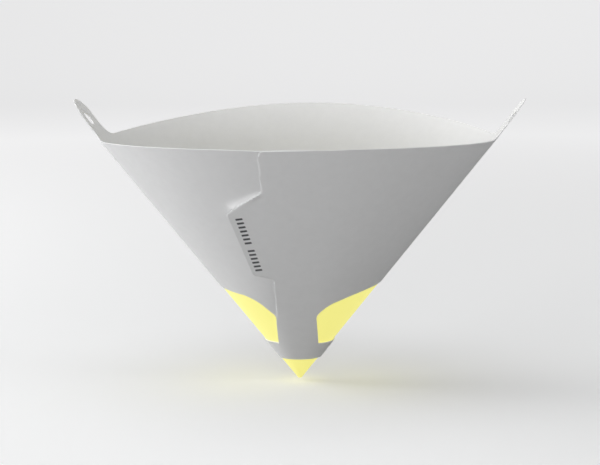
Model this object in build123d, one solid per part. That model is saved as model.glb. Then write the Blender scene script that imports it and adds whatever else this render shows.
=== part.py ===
from build123d import *
import math
import os

# Paint strainer: one die-cut paper sheet rolled into a cone and glued down the
# front, with a pointed cone of filter cloth glued inside it.
# +Z points up to the mouth, the two hanging ears reach out along X, and the
# glued lap faces -Y. The shapes are drawn with the tip at the origin, and each
# piece then moves back so that the origin is under the middle of the mouth.

# Driving dimensions, in millimetres and degrees
slant = 130.0            # tip to rim along the paper: the radius of the flat sheet
mouth_width = 161.7      # ear to ear, at the rim
mouth_depth = 145.8      # front to back, at the rim, before the pinch
front_pinch_share = 0.093  # how far the mouth is drawn to the front, as a share
paper = 0.35             # sheet thickness
cloth = 0.2              # filter cloth thickness
glue = 0.05              # glue film between the cloth and the paper

# Hanging ears
ear_reach = 19.5         # ear tip above the rim, along the paper
ear_width = 17.5
ear_flare = 7.0          # radius that runs the ear into the rim
ear_hole = 6.0           # hole diameter
ear_hole_rise = 9.8      # hole centre above the rim, along the paper

# Windows and ring, distances from the tip along the paper
ring_low = 13.7
ring_top = 23.0
leg_left = 7.4           # seam line to the window on the left
leg_right = 8.8          # seam line to the window on the right
left_arch_centre = 12.7  # centre of the window's arched top, down the ear line
left_arch_radius = 40.0
right_arch_centre = 24.6
right_arch_radius = 30.1
shoulder_height = 38.8   # where a leg starts to widen
left_shoulder_slope = 43.5   # degrees above square to the leg
right_shoulder_slope = 50.0
shoulder_round = 3.0

# Lap: the outer end of the sheet, with its tab, over the inner end
lap_edge = 8.3           # left of the seam line, above the tab
lap_round = 3.0
tab_root_top = 108.3     # height of each point up the seam line
tab_corner_top = 92.8
tab_corner_low = 60.8
tab_root_low = 60.3
tab_reach_top = 23.75    # left of the seam line
tab_reach_low = 15.9
tab_round_top = 3.0
tab_round_low = 2.5
lap_edge_low = 6.6
tab_root_round = 2.0
lap_foot = 8.4           # left of the seam line, where the edge meets the tip end
under_edge = 12.9        # hidden inner end, right of the seam line, at the rim
under_foot = 7.6         # the same at the tip end
lap_drift = 0.5          # sideways drift that lets the outer layer settle down

# Filter cloth
cloth_top = 62.0         # tip to the cloth's hidden upper edge
tip_flat = 0.7           # the sealed point is blunt by this much

overrun = 20.0           # how far cutting shapes run past what they cut
section_points = 14
arch_points = 8

side_slope = math.tan(math.asin(mouth_width / 2 / slant))
front_slope = math.tan(math.asin(mouth_depth / 2 / slant))
side_angle = math.atan(side_slope)
front_turn = -math.pi / 2


def spread(turn):
    """Half width and half depth of the cone one unit above its tip."""
    nose = 1 - front_pinch_share * math.sin(turn) ** 3
    return side_slope * math.cos(turn) * nose, front_slope * math.sin(turn) * nose


def generator(turn):
    """Unit vector from the tip along the paper."""
    across, back = spread(turn)
    return Vector(across, back, 1).normalized()


def flat_table(steps=720):
    """Pairs of the angle round the mouth and the angle on the flat sheet."""
    pairs = [(front_turn, 0.0)]
    step = math.pi / steps
    for number in range(steps):
        turn, flat = pairs[-1]
        opened = (generator(turn + step) - generator(turn)).length
        pairs.append((turn + step, flat + opened))
    return pairs


unrolled = flat_table()
ear_flat = next(flat for turn, flat in unrolled if turn >= 0)


def turn_at(flat):
    """Angle round the mouth of an angle on the flat sheet."""
    reach = abs(flat)
    for (turn, start), (next_turn, end) in zip(unrolled, unrolled[1:]):
        if end >= reach:
            turn += (next_turn - turn) * (reach - start) / (end - start)
            break
    return turn if flat >= 0 else 2 * front_turn - turn


def rolled(across, along):
    """Front view place of a point on the flat sheet, from the seam line."""
    reach = math.hypot(across, along)
    point = generator(turn_at(math.atan2(across, along))) * reach
    return point.X, point.Z


def cone(level, low, high, drift=0.0):
    """Solid cone whose surface lies a level outside the cloth's glue line."""
    drop = level / math.sin(side_angle)
    faces = []
    for height in (low, high):
        outline = []
        for number in range(section_points):
            # The surface's own seam starts at the back, clear of the ears and the lap
            across, back = spread(2 * math.pi * number / section_points - front_turn)
            reach = height + drop
            outline.append((across * reach - drift, back * reach))
        edge = Spline(outline, periodic=True)
        faces.append(Plane.XY.offset(height) * make_face(edge))
    return loft(faces, ruled=True)


def front_prism(outline):
    """Prism that passes through the front half only."""
    return extrude(Plane.XZ * outline, slant)


def through_prism(outline):
    """Prism that passes through front and back."""
    return extrude(Plane.XZ * outline, slant, both=True)


def lap_outline():
    """Everything right of the outer layer's cut edge, in front view."""
    corners = [
        rolled(-lap_foot, ring_low / 2),
        rolled(-lap_edge_low, tab_root_low),
        rolled(-tab_reach_low, tab_corner_low),
        rolled(-tab_reach_top, tab_corner_top),
        rolled(-lap_edge, tab_root_top),
        rolled(-lap_edge, math.sqrt(slant**2 - lap_edge**2)),
    ]
    rounds = [tab_root_round, tab_round_low, tab_round_top, None, lap_round]
    top = corners[-1][1]
    far = mouth_width
    corners += [(far, top), (far, corners[0][1])]
    shape = make_face(Polyline(*corners, close=True))
    for corner, radius in zip(corners[1:], rounds):
        if radius:
            picked = shape.vertices().sort_by_distance((corner[0], corner[1], 0))[0]
            shape = fillet(picked, radius)
    return shape


def under_outline():
    """Everything right of the sheet's hidden inner end, in front view."""
    foot = rolled(under_foot, ring_low / 2)
    top = rolled(under_edge, slant)
    far = mouth_width
    high = slant + ear_reach
    reach = (high - top[1]) * (top[0] - foot[0]) / (top[1] - foot[1])
    return make_face(
        Polyline(foot, (top[0] + reach, high), (far, high), (far, foot[1]), close=True)
    )


def arch(side, centre, radius, leg, shoulder_slope):
    """Arched top of a window on the flat sheet, from the ear line to the shoulder."""
    middle = side * ear_flat
    centre_across = centre * math.sin(middle)
    centre_along = centre * math.cos(middle)
    rise = math.tan(math.radians(shoulder_slope))

    def on_arch(swing):
        angle = middle - side * swing
        return (
            centre_across + radius * math.sin(angle),
            centre_along + radius * math.cos(angle),
        )

    # Halve the swing until the arch meets the shoulder's straight line
    start, end = 0.0, math.radians(100)
    while end - start > math.radians(0.001):
        swing = (start + end) / 2
        across, along = on_arch(swing)
        if along > shoulder_height + (side * across - leg) * rise:
            end = swing
        else:
            start = swing
    return [on_arch(end * number / arch_points) for number in range(arch_points + 1)]


def window(side, centre, radius, leg, shoulder_slope):
    """Prism through both walls, from the ring up to the arch."""
    top = [rolled(*point) for point in arch(side, centre, radius, leg, shoulder_slope)]
    corner = rolled(side * leg, shoulder_height)
    foot = rolled(side * leg, ring_top / 2)
    # Past the ear line the cut goes on square to the paper
    beyond = (
        top[0][0] + side * overrun * math.cos(side_angle),
        top[0][1] - overrun * math.sin(side_angle),
    )
    shape = make_face(
        Spline(top)
        + Polyline(top[-1], corner, foot, (beyond[0], foot[1]), beyond, top[0])
    )
    # The round stays within half of the shoulder's straight edge
    most = math.dist(corner, top[-1]) / 2
    picked = shape.vertices().sort_by_distance((corner[0], corner[1], 0))[0]
    return through_prism(fillet(picked, min(shoulder_round, most)))


def ear_plane():
    """Plane of the right ear: its Y runs up the paper from the tip."""
    outward = (math.cos(side_angle), 0, -math.sin(side_angle))
    return Plane(origin=(0, 0, 0), x_dir=(0, 1, 0), z_dir=outward)


def ear_shapes():
    """Ear outline with its flares, and the hole, drawn up the ear line."""
    half = ear_width / 2
    round_centre = slant + ear_reach - half
    # A flare touches the rim circle from outside and the ear's straight side
    flare_across = half + ear_flare
    flare_along = math.sqrt((slant + ear_flare) ** 2 - flare_across**2)
    touch = slant / (slant + ear_flare)
    on_rim = (flare_across * touch, flare_along * touch)
    root = slant - ear_flare
    block = make_face(
        Polyline(
            (-on_rim[0], root), (on_rim[0], root), on_rim, (half, flare_along),
            (half, round_centre), (-half, round_centre), (-half, flare_along),
            (-on_rim[0], on_rim[1]), close=True,
        )
    )
    flares = [Pos(side * flare_across, flare_along) * Circle(ear_flare) for side in (1, -1)]
    outline = block + Pos(0, round_centre) * Circle(half) - flares[0] - flares[1]
    hole = Pos(0, slant + ear_hole_rise) * Circle(ear_hole / 2)
    return outline, hole


def paper_cone():
    """The rolled sheet: wall, lap with tab, windows, legs, ring and ears."""
    low = ring_low / 2
    high = slant + ear_reach
    outside = cone(paper, low, high)
    inside = cone(0, low - paper, high + overrun)
    lapped = cone(2 * paper, low, high, lap_drift)
    outside += lapped & front_prism(lap_outline())
    recess = cone(paper, low - paper, high + overrun, lap_drift)
    inside += recess & front_prism(under_outline())

    # What the die keeps: all that is within the rim, and the ears with their holes
    outline, hole = ear_shapes()
    ear = extrude(ear_plane() * outline, overrun, both=True)
    bore = extrude(ear_plane() * hole, overrun, both=True)
    blank = Sphere(slant) + ear + mirror(ear, Plane.YZ) - Sphere(ring_low)
    blank -= bore + mirror(bore, Plane.YZ)
    wall = (outside - inside) & blank

    left = window(-1, left_arch_centre, left_arch_radius, leg_left, left_shoulder_slope)
    right = window(1, right_arch_centre, right_arch_radius, leg_right, right_shoulder_slope)
    return wall - (left + right - Sphere(ring_top))


def mesh_cone():
    """The filter cloth: a thin pointed cone, closed at its blunt tip."""
    outside = cone(-glue, tip_flat, slant)
    inside = cone(-glue - cloth, tip_flat + cloth, slant + overrun)
    return (outside - inside) & Sphere(cloth_top)


front_reach = generator(front_turn).Y * slant
back_reach = generator(-front_turn).Y * slant
under_mouth = Pos(0, -(front_reach + back_reach) / 2, 0)

os.makedirs("parts", exist_ok=True)
for name, shape in (("paper_cone", paper_cone()), ("mesh_cone", mesh_cone())):
    piece = under_mouth * shape
    solids = piece.solids()
    print(name, len(solids), "solid", round(sum(s.volume for s in solids), 1), "mm3")
    export_step(piece, f"parts/{name}.step")
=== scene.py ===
import bpy
import math
import numpy as np
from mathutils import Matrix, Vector


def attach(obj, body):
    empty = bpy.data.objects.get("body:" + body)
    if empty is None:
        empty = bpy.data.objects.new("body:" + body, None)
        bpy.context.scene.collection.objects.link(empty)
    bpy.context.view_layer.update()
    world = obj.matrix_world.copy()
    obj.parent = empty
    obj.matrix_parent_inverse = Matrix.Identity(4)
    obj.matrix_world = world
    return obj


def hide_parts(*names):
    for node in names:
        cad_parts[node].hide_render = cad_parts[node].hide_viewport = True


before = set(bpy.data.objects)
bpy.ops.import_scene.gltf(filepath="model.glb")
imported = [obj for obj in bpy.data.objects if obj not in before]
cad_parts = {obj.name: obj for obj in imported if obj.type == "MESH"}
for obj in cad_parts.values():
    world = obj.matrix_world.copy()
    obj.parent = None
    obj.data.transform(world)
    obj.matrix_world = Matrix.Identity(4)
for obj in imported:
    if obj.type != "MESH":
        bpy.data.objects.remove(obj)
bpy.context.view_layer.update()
millimetre = 0.001

# Paper strainer: a die-cut paper sheet rolled into a cone, with a cloth filter glued inside.
# The sheet is drawn flat, cut, and then rolled, so the lap, the tab and the rim follow one another.
# Lengths are in millimetres until a piece is rolled, and flat places are measured from the tip,
# with the seam line straight up.
coneShape = {
    "slant": 130.0,            # tip to rim along the paper
    "width": 161.7,            # mouth, ear to ear
    "depth": 145.8,            # mouth, front to back, before the pinch
    "pinch": 0.093,            # how far the mouth is drawn to the front
    "paper": 0.35,             # thickness
    "back": 4.651,             # the tip sits this far behind the origin
}


# The rolled shape

def slopeOf(reach):
    return math.tan(math.asin(reach / 2 / coneShape["slant"]))


def generators(turn):
    # unit vectors from the tip along the paper, for angles round the mouth
    nose = 1 - coneShape["pinch"] * np.sin(turn) ** 3
    ray = np.stack([slopeOf(coneShape["width"]) * np.cos(turn) * nose,
                    slopeOf(coneShape["depth"]) * np.sin(turn) * nose,
                    np.ones_like(turn)], -1)
    return ray / np.linalg.norm(ray, axis=-1, keepdims=True)


turnTable = np.radians(np.linspace(-90, 270, 7201))    # once round, from the seam line
rayTable = generators(turnTable)
flatTable = np.concatenate([[0], np.cumsum(np.linalg.norm(np.diff(rayTable, axis=0), axis=1))])
fullFlat = flatTable[-1]                               # angle of the whole cone laid flat
earFlat = float(np.interp(0, turnTable, flatTable))
print("cone laid flat:", round(math.degrees(fullFlat), 2), "degrees")


def turnsOf(flat):
    # angle round the mouth for angles on the flat sheet, which may pass a full round
    rounds = np.floor(flat / fullFlat)
    return np.interp(flat - rounds * fullFlat, flatTable, turnTable)


def outward(turn):
    # unit normals of the cone
    step = 1e-4
    normal = np.cross(generators(turn + step) - generators(turn - step), generators(turn))
    return normal / np.linalg.norm(normal, axis=-1, keepdims=True)


def rollUp(reach, flat, level):
    # flat polar places, and a height above the cone's inner surface, to places in metres
    turn = turnsOf(flat)
    place = generators(turn) * reach[..., None] + outward(turn) * level[..., None]
    place[..., 1] += coneShape["back"]
    return place * millimetre


# Small helpers

def selectNone():
    if bpy.context.object and bpy.context.object.mode != "OBJECT":
        bpy.ops.object.mode_set(mode="OBJECT")
    bpy.ops.object.select_all(action="DESELECT")


def makeActive(piece):
    selectNone()
    piece.select_set(True)
    bpy.context.view_layer.objects.active = piece


def selectEdges(piece, chosen):
    # leaves the piece in edit mode, with the edges selected whose ends are chosen
    makeActive(piece)
    bpy.ops.object.mode_set(mode="EDIT")
    bpy.ops.mesh.select_mode(type="EDGE")
    bpy.ops.mesh.select_all(action="DESELECT")
    bpy.ops.object.mode_set(mode="OBJECT")
    for edge in piece.data.edges:
        edge.select = chosen([piece.data.vertices[number].co for number in edge.vertices])
    bpy.ops.object.mode_set(mode="EDIT")


def weldPoints(distance):
    bpy.ops.mesh.select_all(action="SELECT")
    bpy.ops.mesh.remove_doubles(threshold=distance)


def faceOutward():
    bpy.ops.mesh.select_all(action="SELECT")
    bpy.ops.mesh.normals_make_consistent(inside=False)


def applyModifier(piece, kind, **settings):
    makeActive(piece)
    modifier = piece.modifiers.new(kind.title(), kind)
    for name, value in settings.items():
        setattr(modifier, name, value)
    bpy.ops.object.modifier_apply(modifier=modifier.name)


def dress(piece, material):
    piece.data.materials.clear()
    piece.data.materials.append(material)


def readPoints(mesh):
    flat = np.zeros(len(mesh.vertices) * 3)
    mesh.vertices.foreach_get("co", flat)
    return flat.reshape(-1, 3)


def writePoints(mesh, points):
    mesh.vertices.foreach_set("co", points.ravel())
    mesh.update()


def smoothStep(value):
    value = np.clip(value, 0, 1)
    return value * value * (3 - 2 * value)


def within(x, y, area):
    left, right, low, high = area
    return (x > left) & (x < right) & (y > low) & (y < high)


def onCircle(across, radius):
    # height of a circle round the tip, this far across from the seam line
    return math.sqrt(radius ** 2 - across ** 2)


def polar(points):
    return [(math.hypot(x, y), math.atan2(x, y)) for x, y in points]


def arc(centre, radius, start, end, steps):
    angles = np.linspace(start, end, steps + 1)
    return [(centre[0] + radius * math.sin(a), centre[1] + radius * math.cos(a)) for a in angles]


def roundedCorner(before, corner, after, radius, steps=8):
    # points of an arc that rounds a corner between two straight runs
    corner = Vector(corner)
    toBefore = (Vector(before) - corner).normalized()
    toAfter = (Vector(after) - corner).normalized()
    half = toBefore.angle(toAfter) / 2
    run = radius / math.tan(half)
    start = corner + toBefore * run
    end = corner + toAfter * run
    centre = corner + (toBefore + toAfter).normalized() * (radius / math.sin(half))
    points = []
    for number in range(steps + 1):
        mix = start.lerp(end, number / steps) - centre
        points.append(tuple(centre + mix.normalized() * radius))
    return points


def turned(points, angle):
    # turn flat points about the tip, clockwise from the seam line
    cosine, sine = math.cos(angle), math.sin(angle)
    return [(x * cosine + y * sine, y * cosine - x * sine) for x, y in points]


# Paper sheet

sheetCut = {
    "ringLow": 13.7,           # tip end of the paper
    "ringTop": 23.0,           # lower edge of the windows
    "legLeft": 7.4,            # seam line to the window on each side
    "legRight": 8.8,
    "shoulder": 38.8,          # where a leg starts to widen
    "shoulderRound": 4.0,
    "archRound": 11.0,
    "archLead": 20,            # points before the arch's round that give its direction
    "archGap": 0.2,            # room between the arch's points and the round
    "leftArch": (12.7, 40.0),  # reach of its centre along the ear line, and radius
    "rightArch": (24.6, 30.1),
    "leftSlope": 43.5,
    "rightSlope": 50.0,
    "backFoot": (0.94, 0.4),   # height at the back that gives the leg's line, and how it drifts on
    "earReach": 19.5,
    "earWidth": 17.5,
    "earFlare": 7.0,
    "earHole": 6.0,
    "earHoleRise": 9.8,
    "lapEdge": 8.1,
    "lapRound": 3.0,
    "rimAim": 0.4,             # height past the rim that the lap's rounded corner heads for
    # the tab's corners, from its lower root to its upper one: place and rounding
    "tab": [(-6.5, 61.5, 2.0), (-14.6, 63.7, 2.5), (-22.2, 96.8, 3.0), (-8.1, 109.4, 0.0)],
    "legStart": (0.5, 41.0),   # the lap's edge meets the left leg this far inside it, at this height
    "legDrop": 0.8,            # and runs along it from this far below the shoulder
    "legEnd": 21.8,
    "ringStart": (-7.9, 21.6),
    "ringEnd": 8.2,
    "underTop": 12.9,          # hidden end, right of the seam line
    "underHigh": 129.4,
    "underLeg": 8.6,
    "underRing": (8.2, 21.5),
    "underEnd": 8.0,
    "underFoot": 7.6,
    "stepRun": 18.0,           # the outer layer comes down to the wall over this run
    "layerGap": 0.04,
    "groove": (0.12, 2.0),     # depth and half width of the line over the hidden end
    "ridge": (0.55, 26.0, 20.0),   # both layers stand up along the lap's edge: height, runs left and right
    "ridgeStart": (38.0, 20.0),    # height where it starts, and the run to its full height
    "crush": 0.24,             # the lap's free edge is pressed down by this much
    "crushArea": (-25, -4, 36, 131),   # left, right, low and high
    "hinge": 5.0,              # degrees left of the seam: past it the tab isn't glued
    "tabSpring": 6.5,          # degrees that it springs up there
    "tabEase": 1.5,            # run in which it starts to spring
    "tabStart": (52.0, 6.0),   # height where the edge comes loose, and the run to its full spring
    "earBend": 0.8,            # the ears lean in by this much at their tips
    "tent": {                  # the wall stands up along the tab's upper edge
        "run": (1.4, 6.0),     # width of the slope, at the tab's root and at its corner
        "slope": (1.0, 0.60),
        "power": 3,            # how hollow the slope is
        "crest": 0.3,          # the crest lies this far inside the edge
        "under": 3.0,          # width of the slope under the tab
        "start": (0.5, 2.5),   # how far before the root it begins, and the run to its full height
        "end": (1.5, 6.0),     # the same past the corner
        "lifted": 0.6,         # share of the edge where the tab rises with the wall
    },
    "fineness": {              # points along the die line, and cells of the fan that it cuts
        "flare": 10,
        "ear": 28,
        "earHole": 40,
        "ringLow": 200,
        "ringTop": 60,
        "rim": 4,              # at least, on a short run
        "arch": 8,             # one in so many of the arch's quarter degrees
        "fan": (12.0, 152.0, 50),          # reach of its first and last row, and rows
        "fanSpare": 42,                    # degrees past the seam on each side
        "lapArea": (-27, 17, 36, 131),     # left, right, low and high of the finer cells
        "wallArea": (-32, -4, 88, 128),
        "cellCuts": 2,
        "weld": 1e-4,
        "cutWeld": 1e-3,
        "cutterDepth": 3.0,
    },
}
fineness = sheetCut["fineness"]


def leftEdge():
    # visible end of the sheet, from the rim down to the tip end
    cut = sheetCut
    rimPoint = (-cut["lapEdge"], onCircle(cut["lapEdge"], coneShape["slant"]))
    rimNext = (0.0, coneShape["slant"] + cut["rimAim"])
    corners = [(*rimPoint, cut["lapRound"])] + cut["tab"][::-1]
    inside, height = cut["legStart"]
    foot = (-cut["legLeft"] + inside, height)
    places = [rimNext] + [c[:2] for c in corners] + [foot]
    radii = [c[2] for c in corners]
    points = []
    for before, corner, after, radius in zip(places, places[1:], places[2:], radii):
        points += roundedCorner(before, corner, after, radius) if radius else [corner]
    points += [foot, (-cut["legLeft"], cut["shoulder"] - cut["legDrop"]), (-cut["legLeft"], cut["legEnd"])]
    return points + [cut["ringStart"], (-cut["ringEnd"], onCircle(cut["ringEnd"], cut["ringLow"]))]


def rightEdge():
    # hidden end, from the tip end up to the rim
    cut = sheetCut
    low = (cut["underEnd"], onCircle(cut["underEnd"], cut["ringLow"]))
    high = (cut["underTop"], onCircle(cut["underTop"], coneShape["slant"]))
    return [low, cut["underRing"], (cut["underLeg"], cut["shoulder"]), high]


def ear(middle):
    # an ear with its flares, clockwise along the rim
    cut = sheetCut
    slant, flare, half = coneShape["slant"], cut["earFlare"], cut["earWidth"] / 2
    across = half + flare
    along = math.sqrt((slant + flare) ** 2 - across ** 2)
    lean = math.atan2(across, along)
    top = slant + cut["earReach"] - half
    points = arc((-across, along), flare, math.pi - lean, math.pi / 2, fineness["flare"])
    points += arc((0, top), half, -math.pi / 2, math.pi / 2, fineness["ear"])
    points += arc((across, along), flare, 3 * math.pi / 2, math.pi + lean, fineness["flare"])
    return turned(points, middle), lean


def dieLine():
    # outer contour, clockwise seen from the printed side
    slant = coneShape["slant"]
    left, right = leftEdge(), rightEdge()
    startAngle = math.atan2(*left[-1])
    endAngle = fullFlat + math.atan2(*right[0])
    points = left + arc((0, 0), sheetCut["ringLow"], startAngle, endAngle, fineness["ringLow"])[1:-1]
    points += turned(right, fullFlat)
    at = fullFlat + math.atan2(*right[-1])
    for middle in (fullFlat - earFlat, earFlat):
        shape, lean = ear(middle)
        stop = middle + lean
        steps = max(fineness["rim"], int(math.degrees(at - stop)))
        points += arc((0, 0), slant, at, stop, steps)[1:-1] + shape[::-1]
        at = middle - lean
    return points + arc((0, 0), slant, at, math.atan2(*left[0]), int(math.degrees(at)))[1:-1]


def windowTop(side, arch, leg, slope):
    # front half of a window's top, from the ear line to the leg, on the flat sheet
    cut = sheetCut
    middle = side * earFlat
    centre = (arch[0] * math.sin(middle), arch[0] * math.cos(middle))
    rise = math.tan(math.radians(slope))
    points = []
    quarterDegrees = np.radians(np.linspace(0, 100, 401))
    for swing in quarterDegrees:
        x = centre[0] + arch[1] * math.sin(middle - side * swing)
        y = centre[1] + arch[1] * math.cos(middle - side * swing)
        if y > cut["shoulder"] + (side * x - leg) * rise:
            break
        points.append((x, y))
    meet = points[-1]
    corner = (side * leg, cut["shoulder"])
    bend = roundedCorner(points[-cut["archLead"]], meet, corner, cut["archRound"])
    nearest = abs(bend[0][0]) + cut["archGap"]
    points = [p for p in points if abs(p[0]) > nearest][::fineness["arch"]] + bend
    return points + roundedCorner(meet, corner, (side * leg, cut["ringTop"]), cut["shoulderRound"])


def throughToBack(points):
    # the same outline on the back wall, as a straight cut from front to back leaves it
    half = (turnTable >= 0) & (turnTable <= math.pi)
    flat, ray = flatTable[half], rayTable[half]
    slopes = ray[:, 0] / ray[:, 2]
    result = []
    for reach, angle in polar(points):
        place = rollUp(np.array([reach]), np.array([angle]), np.zeros(1))[0]
        width, height = place[0], place[2]
        number = np.interp(-width / height, -slopes, np.arange(len(flat)))
        lower = int(min(number, len(flat) - 2))
        part = number - lower
        backAngle = flat[lower] * (1 - part) + flat[lower + 1] * part
        up = ray[lower, 2] * (1 - part) + ray[lower + 1, 2] * part
        result.append((height / millimetre / up, backAngle))
    return result


def window(side):
    # closed outline of one window on the flat sheet
    cut = sheetCut
    leg = cut["legLeft"] if side < 0 else cut["legRight"]
    arch = cut["leftArch"] if side < 0 else cut["rightArch"]
    slope = cut["leftSlope"] if side < 0 else cut["rightSlope"]
    top = windowTop(side, arch, leg, slope)
    low = cut["ringTop"]
    front = polar(top + [(side * leg, onCircle(leg, low))])
    if side < 0:
        front = [(reach, angle + fullFlat) for reach, angle in front]
    back = throughToBack(top)
    share, drift = cut["backFoot"]
    lastAngle = throughToBack([(side * leg, low * share)])[0][1]
    back.append((low, lastAngle + side * (share - 1) * drift))
    bottom = np.linspace(front[-1][1], back[-1][1], fineness["ringTop"])[1:-1]
    outline = front + [(low, angle) for angle in bottom] + back[::-1][:-1]
    return [(reach * math.sin(angle), reach * math.cos(angle)) for reach, angle in outline]


def drawOutlines(name, outlines, depth):
    # a flat curve with holes, given depth, then made a mesh
    curve = bpy.data.curves.new(name, "CURVE")
    curve.dimensions = "2D"
    curve.fill_mode = "BOTH"
    curve.extrude = depth
    for outline in outlines:
        spline = curve.splines.new("POLY")
        spline.points.add(len(outline) - 1)
        for point, (x, y) in zip(spline.points, outline):
            point.co = (x, y, 0, 1)
        spline.use_cyclic_u = True
    piece = bpy.data.objects.new(name, curve)
    bpy.context.scene.collection.objects.link(piece)
    makeActive(piece)
    bpy.ops.object.convert(target="MESH")
    piece = bpy.context.object
    bpy.ops.object.mode_set(mode="EDIT")
    weldPoints(fineness["weld"])
    faceOutward()
    bpy.ops.object.mode_set(mode="OBJECT")
    return piece


def layFan():
    # plain fan of paper, wide enough for the whole die line, in a grid that bends well
    low, high, rows = fineness["fan"]
    spare = math.radians(fineness["fanSpare"])
    first, last = -spare, fullFlat + spare
    columns = int(math.degrees(last - first))
    across, up, step = math.sin(first), math.cos(first), (high - low) / rows
    selectNone()
    bpy.ops.mesh.primitive_plane_add(size=1, location=(0, 0, 0))
    fan = bpy.context.object
    fan.name = "paper_sheet"
    bpy.ops.object.mode_set(mode="EDIT")
    bpy.ops.mesh.select_all(action="SELECT")
    bpy.ops.mesh.merge(type="CENTER")
    bpy.ops.mesh.select_mode(type="VERT")
    bpy.ops.mesh.select_all(action="SELECT")
    bpy.ops.transform.translate(value=(low * across, low * up, 0))
    for row in range(rows):
        bpy.ops.mesh.extrude_vertices_move(TRANSFORM_OT_translate={"value": (step * across, step * up, 0)})
    bpy.ops.mesh.select_all(action="SELECT")
    bpy.ops.mesh.spin(steps=columns, angle=last - first, center=(0, 0, 0), axis=(0, 0, 1))
    weldPoints(fineness["weld"])
    faceOutward()
    selectLap(fan)
    bpy.ops.mesh.subdivide(number_cuts=fineness["cellCuts"])
    bpy.ops.mesh.select_all(action="SELECT")
    bpy.ops.mesh.extrude_region_move(TRANSFORM_OT_translate={"value": (0, 0, coneShape["paper"])})
    faceOutward()
    bpy.ops.object.mode_set(mode="OBJECT")
    return fan


def selectLap(fan):
    # cells at the lap and its tab, and those of the wall below them
    bpy.ops.mesh.select_mode(type="FACE")
    bpy.ops.mesh.select_all(action="DESELECT")
    bpy.ops.object.mode_set(mode="OBJECT")
    centres = np.zeros(len(fan.data.polygons) * 3)
    fan.data.polygons.foreach_get("center", centres)
    x, y = centres.reshape(-1, 3)[:, :2].T
    farX = x * math.cos(fullFlat) - y * math.sin(fullFlat)
    farY = y * math.cos(fullFlat) + x * math.sin(fullFlat)
    lap = within(x, y, fineness["lapArea"]) | within(farX, farY, fineness["wallArea"])
    fan.data.polygons.foreach_set("select", lap)
    bpy.ops.object.mode_set(mode="EDIT")


def liftTab(reach, angle):
    # the tab isn't glued, so past its root it stays flat and springs up a little
    hinge = -math.radians(sheetCut["hinge"])
    hingeNormal = outward(turnsOf(np.array([hinge])))[0]
    past = np.clip(hinge - angle, 0, None) * reach
    flatness = np.where(past > 0, -generators(turnsOf(angle)) @ hingeNormal, 0) * reach
    spring = math.tan(math.radians(sheetCut["tabSpring"]))
    return flatness + spring * past ** 2 / (past + sheetCut["tabEase"])


def raiseWall(x, y):
    # height of the wall at the tab's upper edge, and of the tab with it, near its root
    tent = sheetCut["tent"]
    corner, root = sheetCut["tab"][2:]
    run = Vector((corner[0] - root[0], corner[1] - root[1]))
    length = run.length
    run.normalize()
    along = (x - root[0]) * run[0] + (y - root[1]) * run[1]
    away = (x - root[0]) * run[1] - (y - root[1]) * run[0] + tent["crest"]
    share = np.clip(along / length, 0, 1)
    width = np.interp(share, [0, 1], tent["run"])
    rise = np.interp(share, [0, 1], tent["slope"]) * width / tent["power"]
    outside, under = np.clip(1 - away / width, 0, 1), np.clip(1 + away / tent["under"], 0, 1)
    before, startRun = tent["start"]
    past, endRun = tent["end"]
    raised = rise * np.where(away > 0, outside, under) ** tent["power"]
    raised = raised * smoothStep((along + before) / startRun) * smoothStep((length - along + past) / endRun)
    return raised, raised * np.clip(1 - share / tent["lifted"], 0, 1)


def freeCorners(mesh):
    # true for the points on the upper side of the lap's free edge
    onCut = np.zeros(len(mesh.vertices), dtype=bool)
    for face in mesh.polygons:
        upright = abs(face.normal.z) < 0.5
        if upright:
            onCut[list(face.vertices)] = True
    x, y, up = readPoints(mesh).T
    belowRim = np.hypot(x, y) < coneShape["slant"] - 0.5
    onTop = up > coneShape["paper"] * 0.9
    return onCut & belowRim & onTop & within(x, y, sheetCut["crushArea"])


def ridgeAt(x, y):
    # the glued lap is stiffer than the single wall, so the cone bends a little at its edge
    height, left, right = sheetCut["ridge"]
    low, run = sheetCut["ridgeStart"]
    away = x + sheetCut["lapEdge"]
    width = np.where(away < 0, left, right)
    return height * np.clip(1 - np.abs(away) / width, 0, 1) ** 2 * smoothStep((y - low) / run)


def rollSheet(sheet, crush=0.0):
    cut = sheetCut
    crushed = crush * freeCorners(sheet.data)
    x, y, up = readPoints(sheet.data).T
    reach = np.hypot(x, y)
    angle = np.arctan2(x, y)
    betweenEnds = math.radians(-73)
    angle = np.where(angle < betweenEnds, angle + 2 * math.pi, angle)
    # the outer layer rests on the hidden end, and comes down to the wall past it
    underX = np.interp(y, [cut["ringLow"] / 2, cut["shoulder"], cut["underHigh"]],
                       [cut["underFoot"], cut["underLeg"], cut["underTop"]])
    over = 1 - smoothStep((x - underX) / cut["stepRun"])
    depth, half = cut["groove"]
    outer = over * (coneShape["paper"] + cut["layerGap"]) - depth * np.exp(-((x - underX) / half) ** 2)
    low, run = cut["tabStart"]
    outer += liftTab(reach, angle) * smoothStep((y - low) / run) + ridgeAt(x, y) + raiseWall(x, y)[1]
    farX, farY = reach * np.sin(angle - fullFlat), reach * np.cos(angle - fullFlat)
    underLap = angle > fullFlat - 1        # radians
    inner = np.where(underLap, raiseWall(farX, farY)[0] + ridgeAt(farX, farY), 0)
    level = np.where(angle < math.pi / 2, outer, inner)
    pastRim = np.clip((reach - coneShape["slant"]) / cut["earReach"], 0, 1)
    level -= cut["earBend"] * pastRim ** 2 + crushed
    writePoints(sheet.data, rollUp(reach, angle, level + up))


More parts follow.
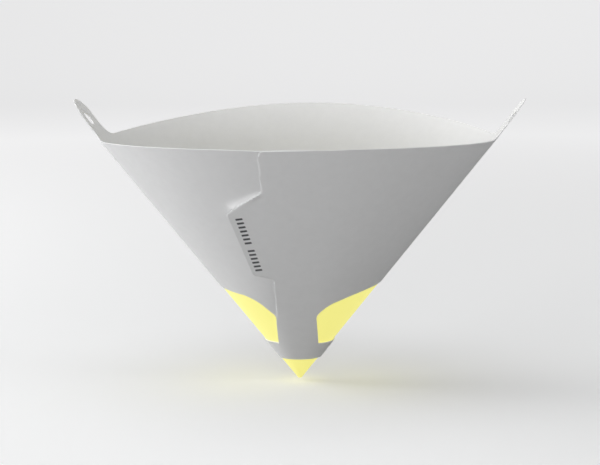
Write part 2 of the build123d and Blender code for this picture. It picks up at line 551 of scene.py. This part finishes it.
def makePaper():
    cut = sheetCut
    fan = layFan()
    print("paper: fan", len(fan.data.polygons), "faces")
    centre, radius = (0, coneShape["slant"] + cut["earHoleRise"]), cut["earHole"] / 2
    hole = arc(centre, radius, 0, 2 * math.pi, fineness["earHole"])[:-1]
    holes = [turned(hole, middle) for middle in (earFlat, fullFlat - earFlat)]
    cutter = drawOutlines("die_line", [dieLine(), window(1), window(-1)] + holes, fineness["cutterDepth"])
    print("paper: die line", len(cutter.data.vertices), "points")
    applyModifier(fan, "BOOLEAN", operation="INTERSECT", object=cutter, solver="EXACT")
    bpy.data.objects.remove(cutter)
    makeActive(fan)
    bpy.ops.object.mode_set(mode="EDIT")
    weldPoints(fineness["cutWeld"])
    bpy.ops.mesh.quads_convert_to_tris(quad_method="BEAUTY", ngon_method="BEAUTY")
    bpy.ops.object.mode_set(mode="OBJECT")
    print("paper: cut sheet", len(fan.data.polygons), "faces")
    rollSheet(fan, cut["crush"])
    makeActive(fan)
    bpy.ops.object.mode_set(mode="EDIT")
    faceOutward()
    bpy.ops.object.mode_set(mode="OBJECT")
    bpy.ops.object.shade_smooth_by_angle(angle=math.radians(40))
    return fan


# Print on the tab: plain bars in two groups

printMarks = {
    "start": (-11.7, 65.9),
    "end": (-17.6, 95.6),
    "groups": (6, 7),
    "bar": (1.0, 2.6, 0.06),   # along the row, across it, and thick, half of it in the paper
}


def makeMarks():
    marks = printMarks
    start, end = Vector(marks["start"]), Vector(marks["end"])
    run = end - start
    pitch = run.length / (sum(marks["groups"]) + len(marks["groups"]) - 1)
    lean = math.atan2(run.y, run.x)
    run.normalize()
    places = []
    at = 0.5                   # middle of the first bar, in pitches
    for group in marks["groups"]:
        places += [start + run * pitch * (at + number) for number in range(group)]
        at += group + 1
    selectNone()
    bars = []
    for place in places:
        bpy.ops.mesh.primitive_cube_add(size=1, location=(place.x, place.y, coneShape["paper"]),
                                        rotation=(0, 0, lean), scale=marks["bar"])
        bars.append(bpy.context.object)
    for bar in bars:
        bar.select_set(True)
    bpy.ops.object.join()
    piece = bpy.context.object
    piece.name = "print_bars"
    bpy.ops.object.transform_apply(location=True, rotation=True, scale=True)
    rollSheet(piece)
    print("print:", len(places), "bars")
    return piece


# Filter cloth

clothShape = {
    "top": 62.0,               # hidden upper edge, along the cloth
    "low": 1.2,                # lowest ring, which the point closes
    "point": 0.25,             # the point lies this far below that ring's middle
    "glue": 0.05,
    "thickness": 0.2,
    "columns": 192,
    "rows": 30,
    "blank": (1, 40, 60),      # radii and height of the plain cone that it starts from
}


def layFlatMap(mesh, reach, flat):
    # UV map in millimetres of the flat cloth, for the weave
    corners = np.zeros(len(mesh.loops), dtype=np.int32)
    mesh.loops.foreach_get("vertex_index", corners)
    angles = flat[corners].reshape(-1, 4)
    split = np.ptp(angles, axis=1, keepdims=True) > fullFlat / 2
    angles = np.where(split & (angles < fullFlat / 2), angles + fullFlat, angles).ravel()
    places = np.stack([reach[corners] * np.sin(angles), reach[corners] * np.cos(angles)], -1)
    mesh.uv_layers.active.data.foreach_set("uv", places.ravel())


def makeCloth():
    shape = clothShape
    bottom, top, height = shape["blank"]
    selectNone()
    bpy.ops.mesh.primitive_cone_add(vertices=shape["columns"], radius1=bottom, radius2=top, depth=height,
                                    end_fill_type="NOTHING", location=(0, 0, height / 2))
    cloth = bpy.context.object
    cloth.name = "filter_cloth"
    bpy.ops.object.transform_apply(location=True, rotation=False, scale=False)
    bpy.ops.object.mode_set(mode="EDIT")
    for row in range(1, shape["rows"]):
        bpy.ops.mesh.select_all(action="SELECT")
        bpy.ops.mesh.bisect(plane_co=(0, 0, height * row / shape["rows"]), plane_no=(0, 0, 1))
    bpy.ops.object.mode_set(mode="OBJECT")
    points = readPoints(cloth.data)
    turn = np.arctan2(points[:, 1], points[:, 0])
    reach = shape["low"] + (shape["top"] - shape["low"]) * (points[:, 2] / height)
    flat = np.interp(np.mod(turn + math.pi / 2, 2 * math.pi) - math.pi / 2, turnTable, flatTable)
    level = np.full(len(flat), -shape["glue"])
    writePoints(cloth.data, rollUp(reach, flat, level))
    layFlatMap(cloth.data, reach, flat)
    selectEdges(cloth, lambda ends: max(end.z for end in ends) < shape["low"] * millimetre)
    bpy.ops.mesh.extrude_edges_move()
    bpy.ops.mesh.merge(type="CENTER")
    bpy.ops.transform.translate(value=(0, 0, -shape["point"] * millimetre))
    faceOutward()
    bpy.ops.object.mode_set(mode="OBJECT")
    applyModifier(cloth, "SOLIDIFY", thickness=shape["thickness"] * millimetre, offset=-1)
    makeActive(cloth)
    bpy.ops.object.shade_smooth_by_angle(angle=math.radians(50))
    print("cloth:", len(cloth.data.polygons), "faces")
    return cloth


# Materials

class Wire:
    def __init__(self, tree, socket):
        self.tree = tree
        self.socket = socket

    def combine(self, operation, first, second):
        node = self.tree.nodes.new("ShaderNodeMath")
        node.operation = operation
        for slot, value in zip(node.inputs, (first, second)):
            if isinstance(value, Wire):
                self.tree.links.new(value.socket, slot)
            else:
                slot.default_value = value
        return Wire(self.tree, node.outputs[0])

    def __add__(self, other):
        return self.combine("ADD", self, other)

    def __radd__(self, other):
        return self.combine("ADD", other, self)

    def __sub__(self, other):
        return self.combine("SUBTRACT", self, other)

    def __rsub__(self, other):
        return self.combine("SUBTRACT", other, self)

    def __mul__(self, other):
        return self.combine("MULTIPLY", self, other)

    def __rmul__(self, other):
        return self.combine("MULTIPLY", other, self)


class Finish:
    def __init__(self, owner, shader="Principled BSDF"):
        owner.use_nodes = True
        self.owner = owner
        self.tree = owner.node_tree
        self.shader = self.tree.nodes[shader]

    def node(self, kind, settings=None, output=0, **values):
        node = self.tree.nodes.new(kind)
        for name, value in (settings or {}).items():
            setattr(node, name, value)
        for name, value in values.items():
            self.put(node.inputs[name.replace("_", " ")], value)
        return Wire(self.tree, node.outputs[output])

    def put(self, slot, value):
        if isinstance(value, Wire):
            self.tree.links.new(value.socket, slot)
        else:
            slot.default_value = value

    def set(self, **values):
        for name, value in values.items():
            self.put(self.shader.inputs[name.replace("_", " ")], value)

    def blend(self, factor, first, second):
        node = self.tree.nodes.new("ShaderNodeMix")
        node.data_type = "RGBA"
        self.put(node.inputs["Factor"], factor)
        self.put([s for s in node.inputs if s.name == "A" and s.type == "RGBA"][0], first)
        self.put([s for s in node.inputs if s.name == "B" and s.type == "RGBA"][0], second)
        return Wire(self.tree, [s for s in node.outputs if s.type == "RGBA"][0])

    def seen(self):
        # 1 for the camera's own rays and for those mirrored or passed on to it
        camera, mirrored, passed = [self.node("ShaderNodeLightPath", output=ray) for ray in (0, 3, 6)]
        return camera + mirrored + passed


paperFinish = {
    "colour": (0.80, 0.802, 0.806, 1),
    "shade": (0.745, 0.747, 0.751, 1),
    "roughness": 0.72,
    "clouds": {"Scale": 260.0, "Detail": 3.0, "Roughness": 0.6},
    "fibres": {"Scale": 1900.0, "Detail": 4.0, "Roughness": 0.65},
    "mottle": (0.9, 0.5, 0.4),       # share of the clouds and of the fibres, and middle tone
    "relief": (0.5, 0.35),           # the same shares in the bump
    "bump": {"Strength": 0.25, "Distance": 0.00012},
}


def paperMaterial():
    look = paperFinish
    finish = Finish(bpy.data.materials.new("white_paper"))
    place = finish.node("ShaderNodeTexCoord", output=3)
    clouds = finish.node("ShaderNodeTexNoise", Vector=place, **look["clouds"])
    fibres = finish.node("ShaderNodeTexNoise", Vector=place, **look["fibres"])
    cloudShare, fibreShare, middle = look["mottle"]
    mottle = (clouds - 0.5) * cloudShare + (fibres - 0.5) * fibreShare + middle
    cloudRelief, fibreRelief = look["relief"]
    height = clouds * cloudRelief + fibres * fibreRelief
    finish.set(Base_Color=finish.blend(mottle, look["colour"], look["shade"]), Roughness=look["roughness"],
               Normal=finish.node("ShaderNodeBump", Height=height, **look["bump"]))
    return finish.owner


inkFinish = {
    "colour": (0.075, 0.075, 0.08, 1),
    "roughness": 0.6,
}


def inkMaterial():
    finish = Finish(bpy.data.materials.new("print_ink"))
    finish.set(Base_Color=inkFinish["colour"], Roughness=inkFinish["roughness"])
    return finish.owner


clothFinish = {
    "thread": (0.35, 0.35, 0.20, 1),
    "gap": (0.30, 0.30, 0.17, 1),
    "paintedLight": (0.92, 0.855, 0.20, 1),  # painted light: an emission that stands in for daylight shining through the cloth
    "paintedLightStrength": 0.79,
    "roughness": 0.6,
    "pitch": 0.5,                    # between threads
    "bump": {"Strength": 0.3, "Distance": 0.00008},
}


def clothMaterial():
    look = clothFinish
    finish = Finish(bpy.data.materials.new("yellow_mesh"))
    flat = finish.node("ShaderNodeTexCoord", output=2)
    scale = 2 * math.pi / 20 / look["pitch"]    # the texture has a band in each pi/10 at scale 1
    across, along = [finish.node("ShaderNodeTexWave", {"wave_type": "BANDS", "bands_direction": way}, 1,
                                 Vector=flat, Scale=scale) for way in ("X", "Y")]
    weave = across * 0.5 + along * 0.5
    # the emission is painted light, a glow that stands in for daylight shining through the cloth from
    # inside the cone
    finish.set(Base_Color=finish.blend(weave, look["gap"], look["thread"]), Roughness=look["roughness"],
               Emission_Color=look["paintedLight"], Emission_Strength=look["paintedLightStrength"],
               Normal=finish.node("ShaderNodeBump", Height=weave, **look["bump"]))
    return finish.owner


# Floor, lights and camera

studio = {                                     # in metres and watts
    "floor": (6, 5),                           # width and depth
    "wall": (3, 1.0, 16),                      # height, and radius and steps of the bend up to it
    "roughness": 0.9,
    "nearColour": (0.80, 0.805, 0.81, 1),
    "farColour": (0.6, 0.6, 0.6, 1),
    "nearFill": (0.22, 0.22, 0.22, 1),         # evens out the floor by the object
    "farFill": (0.66, 0.66, 0.665, 1),
    "reach": (0.15, 1.1),                      # from near to far, from the object's middle
    "frontColour": (0.02, 0.02, 0.02, 1),      # in front, where the lamps stand close to the floor
    "frontFill": (0.82, 0.82, 0.825, 1),
    "front": (-0.35, -0.8),
    "floorUnseen": (0.1, 0.1, 0.1, 1),         # what the floor throws back on the object
    "skyLight": (0.2, 0.2, 0.2, 1),            # what the sky throws on the object
    "skySeen": (0.84, 0.84, 0.845, 1),
    "aim": (0, 0, 0.06),                       # where all the lamps point
    "lamps": [                                 # name, place, size, power
        ("side", (-1.0, 0.1, 0.35), 0.9, 6.9),
        ("sideLow", (-1.0, 0.1, 0.1), 0.35, 3.9),
        ("frontLeft", (-0.7, -0.7, 0.05), 0.5, 5.0),
        ("front", (0.1, -1.1, 0.1), 0.5, 5.0),
        ("right", (1.0, -0.2, 0.15), 0.4, 2.9),
        ("top", (0.0, 0.0, 1.1), 1.0, 3.5),
    ],
}


def makeFloor():
    width, depth = studio["floor"]
    height, bend, steps = studio["wall"]
    selectNone()
    bpy.ops.mesh.primitive_plane_add(size=1, location=(0, 0, 0))
    floor = bpy.context.object
    floor.name = "floor"
    bpy.ops.object.mode_set(mode="EDIT")
    bpy.ops.transform.resize(value=(width, depth, 1))
    selectEdges(floor, lambda ends: all(end.y > 0 for end in ends))
    bpy.ops.mesh.extrude_edges_move(TRANSFORM_OT_translate={"value": (0, 0, height)})
    bpy.ops.object.mode_set(mode="OBJECT")
    applyModifier(floor, "BEVEL", width=bend, segments=steps, limit_method="ANGLE")
    makeActive(floor)
    bpy.ops.object.shade_smooth()
    dress(floor, floorMaterial())


def floorMaterial():
    # shows lighter in the distance, and plain where the lamps would show on it
    look = studio
    finish = Finish(bpy.data.materials.new("floor"))
    seen = finish.seen()
    place = finish.node("ShaderNodeTexCoord", output=3)
    away = finish.node("ShaderNodeVectorMath", {"operation": "LENGTH"}, 1, Vector=place)
    start, end = look["reach"]
    far = finish.node("ShaderNodeMapRange", Value=away, From_Min=start, From_Max=end)
    depth = finish.node("ShaderNodeSeparateXYZ", output=1, Vector=place)
    start, end = look["front"]
    front = finish.node("ShaderNodeMapRange", Value=depth, From_Min=start, From_Max=end)
    fill = finish.blend(far, look["nearFill"], look["farFill"])
    fill = finish.blend(front, fill, look["frontFill"])
    colour = finish.blend(far, look["nearColour"], look["farColour"])
    colour = finish.blend(front, colour, look["frontColour"])
    finish.set(Base_Color=finish.blend(seen, look["floorUnseen"], colour), Roughness=look["roughness"],
               Specular_IOR_Level=0.0, Emission_Color=finish.blend(seen, (0, 0, 0, 1), fill),
               Emission_Strength=1.0)
    return finish.owner


def makeLight(name, place, size, power):
    data = bpy.data.lights.new(name, "AREA")
    data.size = size
    data.energy = power
    lamp = bpy.data.objects.new(name, data)
    lamp.location = place
    lamp.rotation_euler = (Vector(studio["aim"]) - Vector(place)).to_track_quat("-Z", "Y").to_euler()
    bpy.context.scene.collection.objects.link(lamp)


def makeWorld():
    finish = Finish(bpy.data.worlds.new("studio"), "Background")
    finish.set(Color=finish.blend(finish.seen(), studio["skyLight"], studio["skySeen"]), Strength=1.0)
    bpy.context.scene.world = finish.owner


cameraFit = {
    "target": (0, 0.004651, 0.065),
    "distance": 0.715,
    "azimuth": 5.12,
    "elevation": 8.39,
    "roll": 0.47,
    "lens": 103.89,
    "sensor": 36,
    "shift": (0.0021, -0.01102),
}


def makeCamera():
    fit = cameraFit
    data = bpy.data.cameras.new("camera")
    data.lens = fit["lens"]
    data.sensor_width = fit["sensor"]
    data.shift_x, data.shift_y = fit["shift"]
    camera = bpy.data.objects.new("camera", data)
    around, above = math.radians(fit["azimuth"]), math.radians(fit["elevation"])
    level = math.cos(above)
    back = Vector((math.sin(around) * level, -math.cos(around) * level, math.sin(above)))
    camera.location = Vector(fit["target"]) + back * fit["distance"]
    camera.rotation_euler = back.to_track_quat("Z", "Y").to_euler()
    camera.rotation_euler.rotate_axis("Z", -math.radians(fit["roll"]))
    bpy.context.scene.collection.objects.link(camera)
    bpy.context.scene.camera = camera


makeCamera()
makeFloor()
makeWorld()
for lamp in studio["lamps"]:
    makeLight(*lamp)
bpy.context.scene.view_settings.view_transform = "Standard"
print("studio:", len(studio["lamps"]), "lamps")

paper = makePaper()
dress(paper, paperMaterial())
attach(paper, "root")
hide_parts("paper_cone")

marks = makeMarks()
dress(marks, inkMaterial())
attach(marks, "root")

cloth = makeCloth()
dress(cloth, clothMaterial())
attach(cloth, "root")
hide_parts("mesh_cone")
